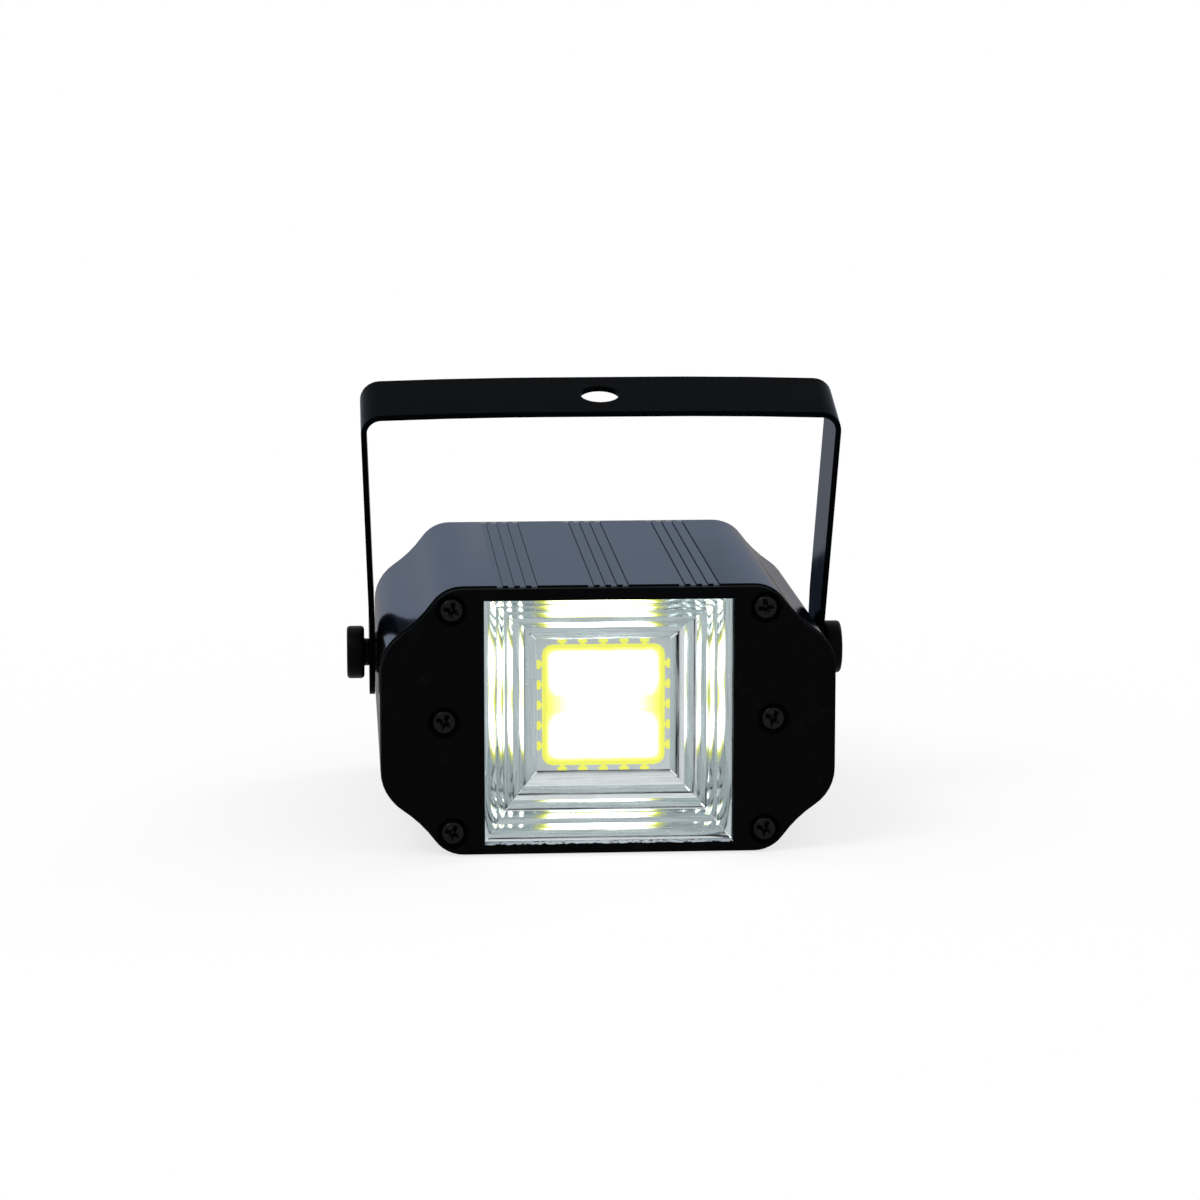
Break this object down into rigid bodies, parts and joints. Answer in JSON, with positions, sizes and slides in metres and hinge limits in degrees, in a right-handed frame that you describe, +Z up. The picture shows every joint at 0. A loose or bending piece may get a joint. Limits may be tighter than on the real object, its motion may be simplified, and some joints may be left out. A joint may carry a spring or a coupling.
{
  "type": "strobe light",
  "caption": "Small stage strobe: extruded black housing with S-curved shoulders, stepped square mirror reflector round a lit LED square, and a tilting flat-strip yoke with thumb screws.",
  "frame": {"origin": "centre of the housing's flat underside, which is where the light stands", "axes": "+Z up out of the underside, -Y the way the light shines, +X to the right of someone who looks at the lit front"},
  "size_m": [0.1052, 0.1022, 0.0931],
  "materials": {
    "black_paint": "semi-gloss black paint on aluminium",
    "yoke_paint": "semi-gloss black paint on steel strip",
    "black_steel": "blackened steel",
    "knob_plastic": "smooth black plastic",
    "mirror_coat": "metallised mirror coat",
    "pale_ceramic": "pale matt ceramic",
    "lit_phosphor": "glowing yellow-white layer",
    "bare_aluminium": "bare, extruded",
    "zinc_steel": "zinc plated",
    "board_laminate": "green circuit board",
    "moulding": "black moulding",
    "ferrite": "dark ferrite",
    "terminal_plastic": "green moulding",
    "red_lead": "red insulation",
    "black_lead": "black insulation",
    "green_lead": "green insulation"
  },
  "bodies": {
    "housing": {"housing_shell": "black_paint", "front_plate": "black_paint", "rear_plate": "black_paint", "front_screw_1": "black_steel", "front_screw_2": "black_steel", "front_screw_3": "black_steel", "front_screw_4": "black_steel", "front_screw_5": "black_steel", "front_screw_6": "black_steel", "rear_screw_1": "black_steel", "rear_screw_2": "black_steel", "rear_screw_3": "black_steel", "rear_screw_4": "black_steel", "rear_screw_5": "black_steel", "rear_screw_6": "black_steel", "reflector": "mirror_coat", "led_frame": "pale_ceramic", "led_phosphor": "lit_phosphor", "led_base": "bare_aluminium", "heat_sink": "bare_aluminium", "module_screw_1": "zinc_steel", "module_screw_2": "zinc_steel", "module_screw_3": "zinc_steel", "module_screw_4": "zinc_steel", "washer_left": "black_steel", "washer_right": "black_steel", "side_nut_left": "zinc_steel", "side_nut_right": "zinc_steel", "driver_board": "board_laminate", "board_capacitor": "moulding", "board_inductor": "ferrite", "board_transistor": "moulding", "board_controller": "moulding", "board_terminal": "terminal_plastic", "speed_pot": "zinc_steel", "pot_nut": "zinc_steel", "power_inlet": "moulding", "inlet_nut": "zinc_steel", "switch_body": "moulding", "led_lead_positive": "red_lead", "led_lead_negative": "black_lead", "inlet_lead": "red_lead", "switch_lead": "red_lead", "ground_lead": "green_lead", "pot_lead": "black_lead"},
    "yoke": {"yoke": "yoke_paint"},
    "thumb_screw_left": {"thumb_knob_left": "knob_plastic", "thumb_stud_left": "zinc_steel"},
    "thumb_screw_right": {"thumb_knob_right": "knob_plastic", "thumb_stud_right": "zinc_steel"},
    "speed_dial": {"speed_knob": "knob_plastic", "pot_shaft": "zinc_steel"},
    "rocker": {"switch_rocker": "moulding"}
  },
  "joints": [
    {"name": "yoke_tilt", "type": "hinge", "parent": "housing", "child": "yoke", "pos_m": [0, 0, 0.0339], "axis": [1, 0, 0], "range_deg": [-107, 163]},
    {"name": "thumb_screw_left_turn", "type": "hinge", "parent": "housing", "child": "thumb_screw_left", "pos_m": [-0.0479, 0, 0.0339], "axis": [-1, 0, 0], "range_deg": [0, 720]},
    {"name": "thumb_screw_right_turn", "type": "hinge", "parent": "housing", "child": "thumb_screw_right", "pos_m": [0.0479, 0, 0.0339], "axis": [1, 0, 0], "range_deg": [0, 720]},
    {"name": "speed_dial_turn", "type": "hinge", "parent": "housing", "child": "speed_dial", "pos_m": [-0.019, 0.0465, 0.031], "axis": [0, 1, 0], "range_deg": [-150, 150]},
    {"name": "power_rocker_tilt", "type": "hinge", "parent": "housing", "child": "rocker", "pos_m": [0.019, 0.0471, 0.031], "axis": [1, 0, 0], "range_deg": [-24, 0]}
  ]
}
